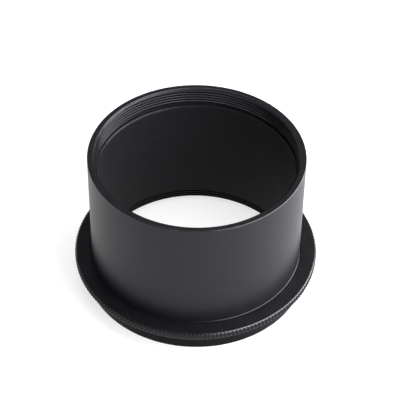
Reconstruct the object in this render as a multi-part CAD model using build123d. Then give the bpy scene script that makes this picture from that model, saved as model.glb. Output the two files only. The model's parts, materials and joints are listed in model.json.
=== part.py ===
from build123d import *
import math
import os

# Two-inch nosepiece barrel: an open tube screwed into a knurled flange ring.
# Millimetres, +Z up the barrel. The origin is the centre of the ring's lower face.

# Barrel: the standard two-inch tube, flared a little at the foot
barrel_diameter = 50.8
barrel_wall = 2.15
barrel_length = 29.6
barrel_rim_chamfer = 0.15
barrel_foot_flare = 0.15
barrel_foot_chamfer = 0.12

# Filter thread in the barrel's mouth, M48 x 0.75, with a relief and a ledge behind it
filter_thread_wall = 1.4
filter_mouth_chamfer = 0.44
filter_lead_in = 0.45
filter_thread_end = 4.2
filter_relief_depth = 0.15
filter_ledge_depth = 5.1
filter_ledge_chamfer = 0.3

# Seat of the barrel's foot, let into the ring's upper face
seat_depth = 0.2
seat_clearance = 0.05
seat_edge_chamfer = 0.12

# Ring thread, M50 x 0.75: the barrel's spigot fills its upper part, the lower part is free
spigot_step = 0.4
spigot_length = 3.0
spigot_end_chamfer = 0.2
spigot_clearance = 0.06
ring_mouth_chamfer = 0.45
ring_foot_chamfer = 0.25
ring_relief_width = 0.6
ring_relief_depth = 0.15

# Ring, outside: a plain band below, a knurled flange on top of it
band_wall = 2.0
band_height = 5.2
band_edge_chamfer = 0.2
flange_reach = 2.5
flange_thickness = 2.0
flange_top_chamfer = 0.4
flange_bottom_chamfer = 0.5
knurl_pitch = 0.97
knurl_depth = 0.25

# Thread form: 60 degree flanks, crests of the inner threads cut back a little
thread_pitch = 0.75
thread_depth_per_pitch = 0.5413
root_depth_per_pitch = 0.6134
tip_flat_per_pitch = 0.125
flank_half_angle = 30.0
inner_crest_cut_back = 0.07
turn_count_slack = 1e-6

filter_thread_diameter = barrel_diameter - 2 * filter_thread_wall
ring_thread_diameter = barrel_diameter - 2 * spigot_step
band_diameter = ring_thread_diameter + 2 * band_wall
flange_diameter = band_diameter + 2 * flange_reach
ring_height = band_height + flange_thickness
total_height = ring_height + barrel_length
seat_height = ring_height - seat_depth
spigot_foot = seat_height - spigot_length
tooth_tip_half = tip_flat_per_pitch * thread_pitch / 2
flank_slope = math.tan(math.radians(flank_half_angle))


def revolved(outline):
    """Solid of revolution about Z, from an outline of (radius, height) points."""
    wire = Polyline([(radius, 0, height) for radius, height in outline], close=True)
    return revolve(make_face(wire), Axis.Z)


def inner_crest_radius(thread_diameter):
    return thread_diameter / 2 - thread_depth_per_pitch * thread_pitch + inner_crest_cut_back


def turn_centres(low, high):
    """Heights of the turns that fit between two heights, lowest first."""
    turns = math.floor((high - low) / thread_pitch + turn_count_slack)
    first = (low + high - turns * thread_pitch) / 2 + thread_pitch / 2
    return [first + turn * thread_pitch for turn in range(turns)]


def thread_outline(base_radius, tip_radius, centres):
    """Outline of a thread made as rings, going up, each one standing out from the base radius."""
    base_half = tooth_tip_half + flank_slope * (tip_radius - base_radius)
    points = []
    for centre in centres:
        points.append((base_radius, centre - base_half))
        points.append((tip_radius, centre - tooth_tip_half))
        points.append((tip_radius, centre + tooth_tip_half))
        points.append((base_radius, centre + base_half))
    return points


def joint_centres():
    """Turns that the barrel's spigot and the ring share."""
    return turn_centres(spigot_foot, seat_height - ring_mouth_chamfer)


def barrel_tube():
    outer = barrel_diameter / 2
    foot = outer + barrel_foot_flare
    bore = outer - barrel_wall
    filter_root = filter_thread_diameter / 2
    filter_crest = inner_crest_radius(filter_thread_diameter)
    filter_relief = filter_root + filter_relief_depth
    thread_low = total_height - filter_thread_end
    chamfer_low = total_height - filter_mouth_chamfer
    thread_high = chamfer_low - filter_lead_in
    ledge = total_height - filter_ledge_depth
    spigot_tip = ring_thread_diameter / 2 - spigot_clearance
    spigot_base = ring_thread_diameter / 2 - root_depth_per_pitch * thread_pitch - spigot_clearance

    inside = [(bore, spigot_foot), (bore, ledge - filter_ledge_chamfer)]
    inside += [(bore + filter_ledge_chamfer, ledge)]
    inside += [(filter_relief, ledge), (filter_relief, thread_low), (filter_crest, thread_low)]
    inside += thread_outline(filter_crest, filter_root, turn_centres(thread_low, thread_high))
    inside += [(filter_crest, chamfer_low), (filter_crest + filter_mouth_chamfer, total_height)]

    outside = [(spigot_base - spigot_end_chamfer, spigot_foot)]
    outside += [(spigot_base, spigot_foot + spigot_end_chamfer)]
    outside += thread_outline(spigot_base, spigot_tip, joint_centres())
    outside += [(spigot_base, seat_height), (foot - barrel_foot_chamfer, seat_height)]
    outside += [(foot, seat_height + barrel_foot_chamfer), (foot, ring_height)]
    outside += [(outer, ring_height + barrel_foot_flare)]
    outside += [(outer, total_height - barrel_rim_chamfer)]
    outside += [(outer - barrel_rim_chamfer, total_height)]
    return revolved(outside + inside[::-1])


def knurled_disc():
    """Disc of the flange's size with straight V grooves all round."""
    crest = flange_diameter / 2
    root = crest - knurl_depth
    teeth = round(math.pi * flange_diameter / knurl_pitch)
    step = math.tau / teeth
    points = []
    for tooth in range(teeth):
        crest_angle = tooth * step
        root_angle = crest_angle + step / 2
        points.append((crest * math.cos(crest_angle), crest * math.sin(crest_angle)))
        points.append((root * math.cos(root_angle), root * math.sin(root_angle)))
    return extrude(make_face(Polyline(points, close=True)), ring_height)


def knurled_flange_ring():
    band = band_diameter / 2
    rim = flange_diameter / 2
    thread_root = ring_thread_diameter / 2
    thread_crest = inner_crest_radius(ring_thread_diameter)
    relief = thread_root + ring_relief_depth
    relief_low = spigot_foot - ring_relief_width
    upper_end = seat_height - ring_mouth_chamfer
    seat = barrel_diameter / 2 + barrel_foot_flare + seat_clearance

    inside = [(thread_crest + ring_foot_chamfer, 0), (thread_crest, ring_foot_chamfer)]
    inside += thread_outline(thread_crest, thread_root, turn_centres(ring_foot_chamfer, relief_low))
    inside += [(thread_crest, relief_low), (relief, relief_low)]
    inside += [(relief, spigot_foot), (thread_crest, spigot_foot)]
    inside += thread_outline(thread_crest, thread_root, joint_centres())
    inside += [(thread_crest, upper_end), (thread_crest + ring_mouth_chamfer, seat_height)]
    inside += [(seat, seat_height), (seat, ring_height - seat_edge_chamfer)]
    inside += [(seat + seat_edge_chamfer, ring_height)]

    outside = [(band - band_edge_chamfer, 0), (band, band_edge_chamfer), (band, band_height)]
    outside += [(rim - flange_bottom_chamfer, band_height)]
    outside += [(rim, band_height + flange_bottom_chamfer)]
    outside += [(rim, ring_height - flange_top_chamfer)]
    outside += [(rim - flange_top_chamfer, ring_height)]
    return revolved(outside + inside[::-1]) & knurled_disc()


pieces = {
    "barrel_tube": barrel_tube(),
    "knurled_flange_ring": knurled_flange_ring(),
}

os.makedirs("parts", exist_ok=True)
for name, piece in pieces.items():
    export_step(piece, f"parts/{name}.step")
    print(name, "volume", round(piece.volume, 1), "mm3, valid", piece.is_valid)
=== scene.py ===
import json
import math

import bmesh
import bpy
from mathutils import Matrix, Quaternion, Vector


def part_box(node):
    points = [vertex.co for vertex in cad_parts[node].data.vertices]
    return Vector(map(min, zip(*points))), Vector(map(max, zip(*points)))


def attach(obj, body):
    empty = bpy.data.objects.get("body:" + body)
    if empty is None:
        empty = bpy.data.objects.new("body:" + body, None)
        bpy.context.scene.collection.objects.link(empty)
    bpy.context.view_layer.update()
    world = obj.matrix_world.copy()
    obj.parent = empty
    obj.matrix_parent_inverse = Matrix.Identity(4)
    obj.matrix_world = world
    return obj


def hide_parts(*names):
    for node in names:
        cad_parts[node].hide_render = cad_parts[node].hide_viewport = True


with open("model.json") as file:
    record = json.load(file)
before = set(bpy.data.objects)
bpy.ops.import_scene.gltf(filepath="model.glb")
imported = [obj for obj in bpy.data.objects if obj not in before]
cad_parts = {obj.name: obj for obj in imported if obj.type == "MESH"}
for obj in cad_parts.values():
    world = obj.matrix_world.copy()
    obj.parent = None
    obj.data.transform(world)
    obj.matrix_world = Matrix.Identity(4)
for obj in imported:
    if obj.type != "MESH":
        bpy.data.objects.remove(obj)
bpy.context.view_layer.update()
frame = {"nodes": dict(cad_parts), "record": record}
print("frame loaded:", ", ".join(sorted(frame["nodes"])))

mm = 0.001
fullTurn = 2 * math.pi
mounts = {mount["name"]: mount for mount in frame["record"]["mounts"]}

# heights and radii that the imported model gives, in millimetres
tubeLow, tubeHigh = (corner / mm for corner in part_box("barrel_tube"))
ringLow, ringHigh = (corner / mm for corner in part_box("knurled_flange_ring"))
barrelRadius = mounts["barrel"]["dims"]["r_mm"]
filterCrest = mounts["filter_thread"]["dims"]["r_mm"]
ringCrest = mounts["body_thread"]["dims"]["r_mm"]

threadForm = {
    "pitch": 0.75,
    "depth": 0.336,        # from the inner crest to the root
    "rootFlat": 0.094,
    "rootPhase": 0.5,      # share of the pitch at the middle of the root
    "flankAngle": 30,      # degrees, half of the included angle
    "runOut": 0.35,        # height over which the cut fades out
    "spareTurns": 2,       # made past each end, then cut off square
}
rootHalf = threadForm["rootFlat"] / 2
flankSlope = math.tan(math.radians(threadForm["flankAngle"]))

# how broken edges are rounded, and how a finished mesh is joined
edgeForm = {
    "largestShare": 0.24,  # of the shorter run beside an edge, the most that its break takes
    "flatShare": 1.8,      # of the break, the distance at which the flat's own shading starts
    "curveSteps": (0.0, 0.33, 0.67, 1.0),
    "mergeDistance": 1e-4,
    "sharpAngle": 28,      # degrees
}


# Mesh tools work in millimetres, until the finished mesh is written.
def grooveRadius(crest, z, turn, fadeTop=None):
    # inside thread: its radius at a height, turn being the angle as a share of a full turn
    pitch = threadForm["pitch"]
    share = (z / pitch - turn) % 1.0
    away = abs(share - threadForm["rootPhase"]) * pitch
    inward = max(0.0, away - rootHalf) / flankSlope
    keep = 1.0 if fadeTop is None else min(1.0, max(0.0, (fadeTop - z) / threadForm["runOut"]))
    return crest + max(0.0, threadForm["depth"] - inward) * keep


def phaseSteps():
    # shares of a pitch where the thread's outline turns, with one more on each flank and crest
    openHalf = rootHalf + flankSlope * threadForm["depth"]
    middle = (rootHalf + openHalf) / 2
    offsets = [-openHalf, -middle, -rootHalf, rootHalf, middle, openHalf]
    return [0.0] + [threadForm["rootPhase"] + offset / threadForm["pitch"] for offset in offsets]


def helixRows(crest, low, high, turns, shift=0.0, fadeTop=None):
    # rows that follow the thread round, cut off square at both heights
    pitch, spare = threadForm["pitch"], threadForm["spareTurns"]
    rows = []
    for turnIndex in range(math.floor(low / pitch) - spare, math.ceil(high / pitch) + spare):
        for phase in phaseSteps():
            row = []
            for turn in turns:
                z = min(high, max(low, (turnIndex + phase + turn + shift) * pitch))
                row.append((grooveRadius(crest, z, turn + shift, fadeTop), turn, z, 0.0))
            rows.append(row)
    return rows


def levelRow(radiusAt, z, turns, wear=0.0):
    return [(radiusAt(turn), turn, z, wear) for turn in turns]


def ringTurns(base, tip, centres, finish):
    # closed thread rings between two radii, as profile points
    openHalf = rootHalf + abs(tip - base) * flankSlope
    points = []
    for centre in centres:
        points += [(base, centre - openHalf, 0, finish), (tip, centre - rootHalf, 0, finish)]
        points += [(tip, centre + rootHalf, 0, finish), (base, centre + openHalf, 0, finish)]
    return points


def softened(profile):
    # profile points are radius, height, edge break and the finish of the run that follows
    points = []
    for index, (radius, height, breakSize, finish) in enumerate(profile):
        here = Vector((radius, height))
        if breakSize == 0 or index in (0, len(profile) - 1):
            points.append((radius, height, 0.0, finish))
            continue
        lastFinish = profile[index - 1][3]
        before = Vector(profile[index - 1][:2]) - here
        after = Vector(profile[index + 1][:2]) - here
        reach = min(breakSize, min(before.length, after.length) * edgeForm["largestShare"])
        start = here + before.normalized() * reach
        end = here + after.normalized() * reach
        flatBefore = here + before.normalized() * reach * edgeForm["flatShare"]
        flatAfter = here + after.normalized() * reach * edgeForm["flatShare"]
        points.append((flatBefore.x, flatBefore.y, 0.0, lastFinish))
        for share in edgeForm["curveSteps"]:
            rounded = start.lerp(here, share).lerp(here.lerp(end, share), share)
            runFinish = finish if share == 1.0 else max(lastFinish, finish)
            points.append((rounded.x, rounded.y, 1.0, runFinish))
        points.append((flatAfter.x, flatAfter.y, 0.0, finish))
    return points


def addStrip(bm, rows, finishes, spiral=False):
    # joins each row to the next, with one finish for all or a list with one for each;
    # a spiral's rows end where the row one pitch up begins
    wearLayer = bm.verts.layers.float["edgeWear"]
    made = []
    for row in rows:
        line = []
        for radius, turn, z, wear in row:
            angle = turn * fullTurn
            vert = bm.verts.new((radius * math.cos(angle), radius * math.sin(angle), z))
            vert[wearLayer] = wear
            line.append(vert)
        made.append(line)
    for index, (lower, upper) in enumerate(zip(made, made[1:])):
        finish = finishes if isinstance(finishes, int) else finishes[index]
        if len(lower) == len(upper):
            for column in range(len(lower) - 1 if spiral else len(lower)):
                following = (column + 1) % len(lower)
                corners = (lower[column], lower[following], upper[following], upper[column])
                bm.faces.new(corners).material_index = finish
            continue
        # a row of fewer columns meets each group of the finer row in one face
        coarse, fine = (lower, upper) if len(lower) < len(upper) else (upper, lower)
        ratio = len(fine) // len(coarse)
        for column in range(len(coarse)):
            corners = [coarse[(column + 1) % len(coarse)], coarse[column]]
            corners += [fine[(column * ratio + step) % len(fine)] for step in range(ratio + 1)]
            bm.faces.new(corners).material_index = finish


def addProfile(bm, profile, turns, outline=None):
    # turns a profile round the axis; an outline keeps it inside another radius
    rows, finishes = [], []
    for radius, height, wear, finish in softened(profile):
        rows.append(levelRow(lambda turn: min(radius, outline(turn)) if outline else radius,
                             height, turns, wear))
        finishes.append(finish)
    addStrip(bm, rows, finishes)
    return rows


def newMesh():
    bm = bmesh.new()
    bm.verts.layers.float.new("edgeWear")
    return bm


def addObject(name, data):
    made = bpy.data.objects.new(name, data)
    bpy.context.scene.collection.objects.link(made)
    return made


def finishedPiece(name, bm, materials):
    bmesh.ops.remove_doubles(bm, verts=bm.verts, dist=edgeForm["mergeDistance"])
    bmesh.ops.dissolve_degenerate(bm, edges=bm.edges, dist=edgeForm["mergeDistance"])
    bmesh.ops.recalc_face_normals(bm, faces=bm.faces)
    if bm.calc_volume(signed=True) < 0:
        bmesh.ops.reverse_faces(bm, faces=bm.faces)
    for face in bm.faces:
        face.smooth = True
    openEdges = sum(1 for edge in bm.edges if len(edge.link_faces) != 2)
    volume = round(bm.calc_volume(), 1)
    print(name, "faces", len(bm.faces), "open edges", openEdges, "volume mm3", volume)
    bmesh.ops.scale(bm, vec=(mm, mm, mm), verts=bm.verts)
    mesh = bpy.data.meshes.new(name)
    bm.to_mesh(mesh)
    bm.free()
    mesh.set_sharp_from_angle(angle=math.radians(edgeForm["sharpAngle"]))
    for material in materials:
        mesh.materials.append(material)
    return addObject(name, mesh)


def mathNode(tree, operation, first, second=None, clamp=False):
    node = tree.nodes.new("ShaderNodeMath")
    node.operation = operation
    node.use_clamp = clamp
    for index, value in enumerate((first, second)):
        if value is None:
            continue
        if isinstance(value, (int, float)):
            node.inputs[index].default_value = value
        else:
            tree.links.new(value, node.inputs[index])
    return node.outputs[0]


def noiseNode(tree, vector, scale, detail, rough):
    node = tree.nodes.new("ShaderNodeTexNoise")
    node.inputs["Scale"].default_value = scale
    node.inputs["Detail"].default_value = detail
    node.inputs["Roughness"].default_value = rough
    tree.links.new(vector, node.inputs["Vector"])
    return node.outputs["Fac"]


def rangeNode(tree, value, fromRange, toRange):
    node = tree.nodes.new("ShaderNodeMapRange")
    sockets = ("From Min", "From Max", "To Min", "To Max")
    for socket, number in zip(sockets, (*fromRange, *toRange)):
        node.inputs[socket].default_value = number
    tree.links.new(value, node.inputs["Value"])
    return node.outputs["Result"]


def mixColour(tree, factor, first, second):
    node = tree.nodes.new("ShaderNodeMix")
    node.data_type = "RGBA"
    # the node has sockets of one name for each kind of value, so the colour ones go by number
    factorIn, firstIn, secondIn, colourOut = 0, 6, 7, 2
    tree.links.new(factor, node.inputs[factorIn])
    for socket, colour in ((firstIn, first), (secondIn, second)):
        if isinstance(colour, tuple):
            node.inputs[socket].default_value = (*colour, 1)
        else:
            tree.links.new(colour, node.inputs[socket])
    return node.outputs[colourOut]


# what all the finishes share: detail and roughness of each noise, and the part of it that counts
finishForm = {
    "mottleNoise": (4, 0.6),
    "grainNoise": (2, 0.5),
    "lineNoise": (2, 0.7),
    "rubNoise": (5, 0.65),
    "dyeRange": (0.35, 0.65),
    "rubRange": (0.42, 0.68),
    "roughnessRange": (0.3, 0.7),
    "rubPolish": 0.12,               # comes off the roughness where an edge is rubbed
    "glossTint": (0.91, 0.875, 1.0),
}


def blackFinish(name, look):
    # black on turned metal: mottled dye, turning lines, blasted grain and rubbed edges
    material = bpy.data.materials.new(name)
    material.use_nodes = True
    tree = material.node_tree
    shader = tree.nodes["Principled BSDF"]
    where = tree.nodes.new("ShaderNodeTexCoord").outputs["Object"]

    # distance from the axis and height, so that lines run round the piece
    split = tree.nodes.new("ShaderNodeSeparateXYZ")
    tree.links.new(where, split.inputs[0])
    squareX = mathNode(tree, "MULTIPLY", split.outputs["X"], split.outputs["X"])
    squareY = mathNode(tree, "MULTIPLY", split.outputs["Y"], split.outputs["Y"])
    radius = mathNode(tree, "SQRT", mathNode(tree, "ADD", squareX, squareY))
    turned = tree.nodes.new("ShaderNodeCombineXYZ")
    tree.links.new(radius, turned.inputs["X"])
    tree.links.new(split.outputs["Z"], turned.inputs["Z"])

    mottle = noiseNode(tree, where, look["mottleScale"], *finishForm["mottleNoise"])
    grain = noiseNode(tree, where, look["grainScale"], *finishForm["grainNoise"])
    lines = noiseNode(tree, turned.outputs[0], look["lineScale"], *finishForm["lineNoise"])
    scuffs = noiseNode(tree, where, look["rubScale"], *finishForm["rubNoise"])

    dyeShare = rangeNode(tree, mottle, finishForm["dyeRange"], (0, 1))
    dyed = mixColour(tree, dyeShare, look["darkDye"], look["lightDye"])
    edge = tree.nodes.new("ShaderNodeAttribute")
    edge.attribute_name = "edgeWear"
    rub = rangeNode(tree, scuffs, finishForm["rubRange"], (0, look["rubAmount"]))
    rubbed = mathNode(tree, "MULTIPLY", edge.outputs["Fac"], rub, clamp=True)
    tree.links.new(mixColour(tree, rubbed, dyed, look["rubColour"]), shader.inputs["Base Color"])

    highest, spread = look["roughness"], look["roughnessSpread"]
    patches = rangeNode(tree, mottle, finishForm["roughnessRange"], (highest - spread, highest))
    streaks = rangeNode(tree, lines, finishForm["roughnessRange"], (0, spread))
    polish = mathNode(tree, "MULTIPLY", rubbed, finishForm["rubPolish"])
    uneven = mathNode(tree, "ADD", patches, streaks)
    rough = mathNode(tree, "SUBTRACT", uneven, polish, clamp=True)
    tree.links.new(rough, shader.inputs["Roughness"])

    relief = mathNode(tree, "ADD", mathNode(tree, "MULTIPLY", grain, look["grainShare"]),
                      mathNode(tree, "MULTIPLY", lines, look["lineShare"]))
    bump = tree.nodes.new("ShaderNodeBump")
    bump.inputs["Strength"].default_value = look["bumpStrength"]
    bump.inputs["Distance"].default_value = look["bumpDepth"]
    tree.links.new(relief, bump.inputs["Height"])
    tree.links.new(bump.outputs[0], shader.inputs["Normal"])

    shader.inputs["Specular IOR Level"].default_value = look["specular"]
    shader.inputs["Specular Tint"].default_value = (*finishForm["glossTint"], 1)
    return material


# dyes and rub colours are linear RGB, scales are per metre, bump depths in metres
barrelLook = {
    "darkDye": (0.0112, 0.0106, 0.0136), "lightDye": (0.0128, 0.0122, 0.0154),
    "mottleScale": 420, "grainScale": 9000, "lineScale": 5200, "rubScale": 900,
    "rubColour": (0.10, 0.10, 0.105), "rubAmount": 0.12,
    "roughness": 0.40, "roughnessSpread": 0.018,
    "grainShare": 0.7, "lineShare": 0.5, "bumpStrength": 0.25, "bumpDepth": 6e-6,
    "specular": 0.20,
}
ringLook = {
    "darkDye": (0.0036, 0.0035, 0.0041), "lightDye": (0.0058, 0.0056, 0.0064),
    "mottleScale": 300, "grainScale": 9000, "lineScale": 4600, "rubScale": 1100,
    "rubColour": (0.11, 0.11, 0.113), "rubAmount": 0.15,
    "roughness": 0.34, "roughnessSpread": 0.05,
    "grainShare": 0.6, "lineShare": 0.6, "bumpStrength": 0.25, "bumpDepth": 6e-6,
    "specular": 0.07,
}
boreLook = {
    "darkDye": (0.0048, 0.0046, 0.0052), "lightDye": (0.0068, 0.0066, 0.0074),
    "mottleScale": 350, "grainScale": 6000, "lineScale": 2600, "rubScale": 900,
    "rubColour": (0.05, 0.05, 0.05), "rubAmount": 0.1,
    "roughness": 0.72, "roughnessSpread": 0.08,
    "grainShare": 1.0, "lineShare": 0.3, "bumpStrength": 0.5, "bumpDepth": 1.5e-5,
    "specular": 0.2,
}
facedLook = {
    "darkDye": (0.0068, 0.0065, 0.0076), "lightDye": (0.0090, 0.0087, 0.0100),
    "mottleScale": 300, "grainScale": 11000, "lineScale": 7000, "rubScale": 1100,
    "rubColour": (0.09, 0.09, 0.093), "rubAmount": 0.1,
    "roughness": 0.32, "roughnessSpread": 0.05,
    "grainShare": 0.4, "lineShare": 0.8, "bumpStrength": 0.25, "bumpDepth": 5e-6,
    "specular": 0.28,
}
cutLook = {
    "darkDye": (0.0030, 0.0029, 0.0034), "lightDye": (0.0052, 0.0050, 0.0058),
    "mottleScale": 500, "grainScale": 12000, "lineScale": 9000, "rubScale": 1300,
    "rubColour": (0.14, 0.14, 0.145), "rubAmount": 0.08,
    "roughness": 0.24, "roughnessSpread": 0.04,
    "grainShare": 0.3, "lineShare": 0.8, "bumpStrength": 0.2, "bumpDepth": 4e-6,
    "specular": 0.53,
}
# the thread's rough finish is real, but its dye is lighter than the barrel's as painted fill
# light that lifts the shade in the thread recesses, relief and ledge
threadShadeLiftLook = {
    "darkDye": (0.0125, 0.0120, 0.0138), "lightDye": (0.0160, 0.0155, 0.0174),
    "mottleScale": 350, "grainScale": 6000, "lineScale": 5200, "rubScale": 900,
    "rubColour": (0.05, 0.05, 0.05), "rubAmount": 0.1,
    "roughness": 0.60, "roughnessSpread": 0.06,
    "grainShare": 0.4, "lineShare": 0.4, "bumpStrength": 0.2, "bumpDepth": 7e-6,
    "specular": 0.14,
}
mouthLook = dict(cutLook, specular=1.0)      # the mouth's chamfer shines most

barrelAnodise = blackFinish("barrelAnodise", barrelLook)
ringAnodise = blackFinish("ringAnodise", ringLook)
boreBlack = blackFinish("boreBlack", boreLook)
facedBlack = blackFinish("facedBlack", facedLook)
cutEdge = blackFinish("cutEdge", cutLook)
threadBlack = blackFinish("threadBlack", threadShadeLiftLook)
brightCut = blackFinish("brightCut", mouthLook)

# both pieces keep their finishes in this order; the knurl has the thread's, whose lighter dye is
# painted lift of shade, and only the barrel has the bright one
anodise, bored, faced, cut, threaded, bright = range(6)
barrelFinishes = (barrelAnodise, boreBlack, facedBlack, cutEdge, threadBlack, brightCut)
ringFinishes = (ringAnodise, boreBlack, facedBlack, cutEdge, threadBlack)
print("finishes made")


# Barrel: open tube with the filter thread in its mouth and a screw spigot below.
barrelTubeSizes = {
    "columns": 360,
    "wall": 2.15,
    "rimChamfer": 0.15,
    "footChamfer": 0.12,
    "footFlare": 0.15,
    "mouthChamfer": 0.44,
    "threadStart": 0.72,   # below the mouth, where the cut has faded out
    "threadShift": 0.87,   # of a turn, sets where the thread comes round
    "threadEnd": 4.2,      # below the mouth
    "reliefDepth": 0.15,
    "ledgeDepth": 5.1,     # below the mouth
    "ledgeChamfer": 0.3,
    "seatHeight": 7.0,
    "spigotBase": 24.48,
    "spigotTip": 24.94,
    "spigotChamfer": 0.2,
    "spigotTurns": (4.525, 5.275, 6.025),
    "edgeBreak": 0.05,
}


def buildBarrelTube(size):
    soft = size["edgeBreak"]
    turns = [column / size["columns"] for column in range(size["columns"])]
    outer, mouth, foot = barrelRadius, tubeHigh.z, tubeLow.z
    bore = outer - size["wall"]
    threadLow = mouth - size["threadEnd"]
    chamferLow = mouth - size["mouthChamfer"]
    threadTop = mouth - size["threadStart"]
    ledge = mouth - size["ledgeDepth"]
    relief = filterCrest + threadForm["depth"] + size["reliefDepth"]
    mouthRadius = filterCrest + size["mouthChamfer"]
    spigot, seat, flare = size["spigotBase"], size["seatHeight"], outer + size["footFlare"]
    bm = newMesh()

    # from the spigot's end, up the outside and into the mouth
    outside = [(bore, foot, 0, threaded), (spigot - size["spigotChamfer"], foot, 0, anodise)]
    outside += [(spigot, foot + size["spigotChamfer"], 0, anodise)]
    outside += ringTurns(spigot, size["spigotTip"], size["spigotTurns"], anodise)
    outside += [(spigot, seat, 0, anodise), (flare - size["footChamfer"], seat, soft, cut)]
    outside += [(flare, seat + size["footChamfer"], soft, cut), (flare, ringHigh.z, 0, faced)]
    outside += [(outer, ringHigh.z + size["footFlare"], 0, anodise)]
    outside += [(outer, mouth - size["rimChamfer"], soft, cut)]
    outside += [(outer - size["rimChamfer"], mouth, soft, faced)]
    outside += [(mouthRadius, mouth, soft, bright), (filterCrest, chamferLow, 0, cut)]
    outside += [(filterCrest, threadTop, 0, cut)]
    addProfile(bm, outside, turns)

    # filter thread, then the flat step out to the relief
    shift = size["threadShift"]
    helix = helixRows(filterCrest, threadLow, threadTop, turns + [1.0], shift, threadTop)
    addStrip(bm, helix, cut, spiral=True)
    threadEdge = levelRow(lambda turn: grooveRadius(filterCrest, threadLow, turn + shift),
                          threadLow, turns)
    reliefEdge = levelRow(lambda turn: relief, threadLow, turns)
    addStrip(bm, [threadEdge, reliefEdge], anodise)

    # relief, ledge and the clear bore, back down to the spigot's end
    # the relief and ledge take the thread's finish for its lighter dye, painted lift of the shade
    # they sit in
    lower = [(relief, threadLow, 0, threaded), (relief, ledge, 0, threaded)]
    lower += [(bore + size["ledgeChamfer"], ledge, soft, cut)]
    lower += [(bore, ledge - size["ledgeChamfer"], 0, bored)]
    lower += [(bore, (ledge + foot) / 2, 0, bored), (bore, foot, 0, bored)]
    addProfile(bm, lower, turns)
    return finishedPiece("barrelTube", bm, barrelFinishes)


barrelTube = buildBarrelTube(barrelTubeSizes)
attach(barrelTube, "barrel")
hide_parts("barrel_tube")


# Ring: knurled flange over a plain band, threaded right through.
flangeRingSizes = {
    "teeth": 191,
    "toothDepth": 0.25,
    "crestShare": 0.06,    # of a tooth's step, each side of the crest's middle
    "rootShare": 0.44,     # of a tooth's step, from the crest's middle to the root's near side
    "coarseEvery": 3,      # fine columns to each coarse one
    "fineTop": 0.7,        # inside the rim, where the fine columns end on the flange's top
    "coarseTop": 1.1,      # inside the rim, where the coarse ones begin there
    "fineUnder": 1.6,      # outside the band, where the fine columns end under the flange
    "coarseUnder": 1.2,    # outside the band, where the coarse ones begin there
    "bandRadius": 27.0,
    "bandHeight": 5.2,
    "bandChamfer": 0.2,
    "topChamfer": 0.4,
    "bottomChamfer": 0.5,
    "seatRadius": 25.6,
    "seatHeight": 7.0,
    "seatChamfer": 0.12,
    "threadMouthChamfer": 0.45,
    "jointTurns": (4.525, 5.275, 6.025),
    "reliefRadius": 25.15,
    "reliefLow": 3.4,
    "reliefHigh": 4.0,
    "footChamfer": 0.25,
    "footRows": 6,         # down the foot's chamfer
    "footFlat": 25.4,      # radius past which the foot's face is plain
    "edgeBreak": 0.05,
}


def toothTurns(size):
    # angles of the fine columns, six to a tooth, as shares of a full turn
    crest, root = size["crestShare"], size["rootShare"]
    middle = (crest + root) / 2
    phases = [-crest, crest, middle, root, 1 - root, 1 - middle]
    return [(tooth + phase) / size["teeth"] for tooth in range(size["teeth"]) for phase in phases]


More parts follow.
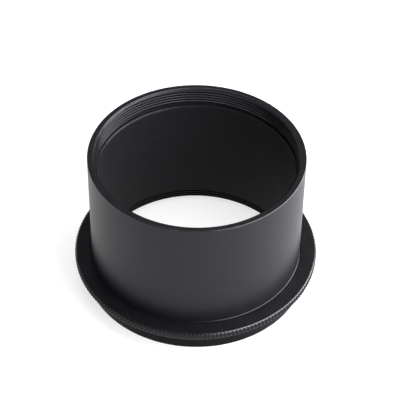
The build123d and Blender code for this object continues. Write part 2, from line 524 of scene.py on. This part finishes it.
def buildFlangeRing(size):
    soft = size["edgeBreak"]
    fineTurns = toothTurns(size)
    turns = fineTurns[::size["coarseEvery"]]
    rim, top, low = ringHigh.x, ringHigh.z, ringLow.z
    band, under, depth = size["bandRadius"], size["bandHeight"], size["toothDepth"]
    coarseTop, coarseUnder = rim - size["coarseTop"], band + size["coarseUnder"]
    half = depth / 2

    def toothRadius(turn):
        share = (turn * size["teeth"]) % 1.0
        away = min(share, 1.0 - share)
        down = (away - size["crestShare"]) / (size["rootShare"] - size["crestShare"])
        return rim - depth * min(1.0, max(0.0, down))

    # the flange's knurled rim, from its underside up to its top
    bm = newMesh()
    upperEdge, lowerEdge = top - size["topChamfer"], under + size["bottomChamfer"]
    flange = [(band + size["fineUnder"], under, 0, anodise)]
    flange += [(rim - size["bottomChamfer"], under, soft, cut)]
    flange += [(rim - depth, lowerEdge - depth, 0, cut), (rim - half, lowerEdge - half, 0, cut)]
    flange += [(rim, lowerEdge, soft, threaded), (rim, upperEdge, soft, cut)]
    flange += [(rim - half, upperEdge + half, 0, cut), (rim - depth, upperEdge + depth, 0, cut)]
    flange += [(rim - size["topChamfer"], top, soft, faced)]
    flange += [(rim - size["fineTop"], top, 0, faced)]
    knurled = addProfile(bm, flange, fineTurns, toothRadius)
    underFlat = levelRow(lambda turn: coarseUnder, under, turns)
    topFlat = levelRow(lambda turn: coarseTop, top, turns)
    addStrip(bm, [underFlat, knurled[0]], faced)
    addStrip(bm, [knurled[-1], topFlat], faced)

    # the seat, the thread that holds the barrel and the relief under it
    seatRadius, seatHeight = size["seatRadius"], size["seatHeight"]
    threadMouth, threadRoot = size["threadMouthChamfer"], ringCrest + threadForm["depth"]
    relief, reliefLow, reliefHigh = size["reliefRadius"], size["reliefLow"], size["reliefHigh"]
    inner = [(coarseTop, top, 0, faced), (seatRadius + size["seatChamfer"], top, soft, cut)]
    inner += [(seatRadius, top - size["seatChamfer"], soft, anodise)]
    inner += [(seatRadius, seatHeight, 0, anodise)]
    inner += [(ringCrest + threadMouth, seatHeight, 0, anodise)]
    inner += [(ringCrest, seatHeight - threadMouth, 0, anodise)]
    inner += ringTurns(ringCrest, threadRoot, size["jointTurns"], anodise)[::-1]
    # the ring's inside relief takes the thread's lighter dye, painted lift of the shade behind
    # the barrel's foot
    inner += [(ringCrest, reliefHigh, 0, threaded), (relief, reliefHigh, 0, threaded)]
    inner += [(relief, reliefLow, 0, threaded)]
    addProfile(bm, inner, turns)

    # free thread below the barrel, with its own chamfer at the foot
    threadLow = low + size["footChamfer"]
    reliefEdge = levelRow(lambda turn: relief, reliefLow, turns)
    threadEdge = levelRow(lambda turn: grooveRadius(ringCrest, reliefLow, turn), reliefLow, turns)
    addStrip(bm, [reliefEdge, threadEdge], threaded)
    helix = helixRows(ringCrest, threadLow, reliefLow, turns + [turns[0] + 1.0])
    addStrip(bm, helix, threaded, spiral=True)
    footRows = []
    for step in range(size["footRows"] + 1):
        share = step / size["footRows"]
        z = threadLow - share * size["footChamfer"]
        cone = ringCrest + share * size["footChamfer"]
        footRows.append(levelRow(lambda turn: max(cone, grooveRadius(ringCrest, z, turn)),
                                 z, turns))
    addStrip(bm, footRows, threaded)
    addStrip(bm, [footRows[-1], levelRow(lambda turn: size["footFlat"], low, turns)], faced)

    # the plain band, up to the flange's underside
    chamfer = size["bandChamfer"]
    outer = [(size["footFlat"], low, 0, anodise), (band - chamfer, low, soft, anodise)]
    outer += [(band, low + chamfer, soft, anodise), (band, under, 0, anodise)]
    outer += [(coarseUnder, under, 0, anodise)]
    addProfile(bm, outer, turns)
    return finishedPiece("knurledFlangeRing", bm, ringFinishes)


knurledFlangeRing = buildFlangeRing(flangeRingSizes)
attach(knurledFlangeRing, "ring")
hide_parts("knurled_flange_ring")
print("both pieces in place")


# Table top, light and camera, in metres.
studio = {
    "floorHalf": 2.5,
    "floorColour": (0.48, 0.48, 0.48),
    "floorGlow": 0.72,
    "floorRoughness": 0.9,
    "floorSpecular": 0.1,
    "worldColour": (0.22, 0.22, 0.226),
    # each light: azimuth, elevation and roll in degrees, distance, width, height, radiance
    "lights": {
        "keySoftbox": (-13, 27, -20, 0.36, 0.80, 0.13, 11.0),
        "highSoftbox": (12, 57, -45, 0.6, 0.62, 0.34, 4.2),
        "overheadSoftbox": (90, 85, 0, 1.0, 0.5, 0.5, 4.0),
    },
}


def softbox(name, azimuth, elevation, roll, distance, width, height, radiance):
    data = bpy.data.lights.new(name, "AREA")
    data.shape = "RECTANGLE"
    data.size, data.size_y = width, height
    data.energy = radiance * math.pi * width * height     # power that gives this radiance
    light = addObject(name, data)
    turn, lift = math.radians(azimuth), math.radians(elevation)
    flat = math.cos(lift)
    away = Vector((math.cos(turn) * flat, math.sin(turn) * flat, math.sin(lift)))
    rolled = Quaternion((0, 0, 1), math.radians(roll))
    light.location = away * distance
    light.rotation_mode = "QUATERNION"
    light.rotation_quaternion = away.to_track_quat("Z", "Y") @ rolled


for lightName, setting in studio["lights"].items():
    softbox(lightName, *setting)

floorMesh = bpy.data.meshes.new("floor")
half, floorZ = studio["floorHalf"], ringLow.z * mm
corners = [(x * half, y * half, floorZ) for x, y in ((-1, -1), (1, -1), (1, 1), (-1, 1))]
floorMesh.from_pydata(corners, [], [(0, 1, 2, 3)])
floor = addObject("floor", floorMesh)
paper = bpy.data.materials.new("whitePaper")
paper.use_nodes = True
paperShader = paper.node_tree.nodes["Principled BSDF"]
paperShader.inputs["Base Color"].default_value = (*studio["floorColour"], 1)
paperShader.inputs["Roughness"].default_value = studio["floorRoughness"]
paperShader.inputs["Emission Color"].default_value = (1, 1, 1, 1)
paperShader.inputs["Emission Strength"].default_value = studio["floorGlow"]
paperShader.inputs["Specular IOR Level"].default_value = studio["floorSpecular"]
floorMesh.materials.append(paper)

world = bpy.data.worlds.new("studioWorld")
world.use_nodes = True
world.node_tree.nodes["Background"].inputs["Color"].default_value = (*studio["worldColour"], 1)
bpy.context.scene.world = world
bpy.context.scene.view_settings.view_transform = "Standard"

cameraSettings = {
    "elevation": 43.630,       # degrees above the horizon
    "roll": 0.877,             # degrees
    "distance": 0.350029,      # metres from the aim
    "aim": (0.000877, 0, 0.022184),
    "lens": 132.43,
    "sensor": 36,
    "clip": (0.01, 20),
}


def placeCamera(setting):
    lift, roll = math.radians(setting["elevation"]), math.radians(setting["roll"])
    forward = Vector((0, math.cos(lift), -math.sin(lift)))
    right = Vector((1, 0, 0))
    up = Vector((0, math.sin(lift), math.cos(lift)))
    side = right * math.cos(roll) + up * math.sin(roll)
    top = up * math.cos(roll) - right * math.sin(roll)
    data = bpy.data.cameras.new("studioCamera")
    data.lens, data.sensor_width = setting["lens"], setting["sensor"]
    data.clip_start, data.clip_end = setting["clip"]
    camera = addObject("studioCamera", data)
    axes = Matrix((side, top, -forward)).transposed()
    eye = Vector(setting["aim"]) - forward * setting["distance"]
    camera.matrix_world = Matrix.Translation(eye) @ axes.to_4x4()
    bpy.context.scene.camera = camera


placeCamera(cameraSettings)
print("studio ready")

bpy.context.view_layer.update()
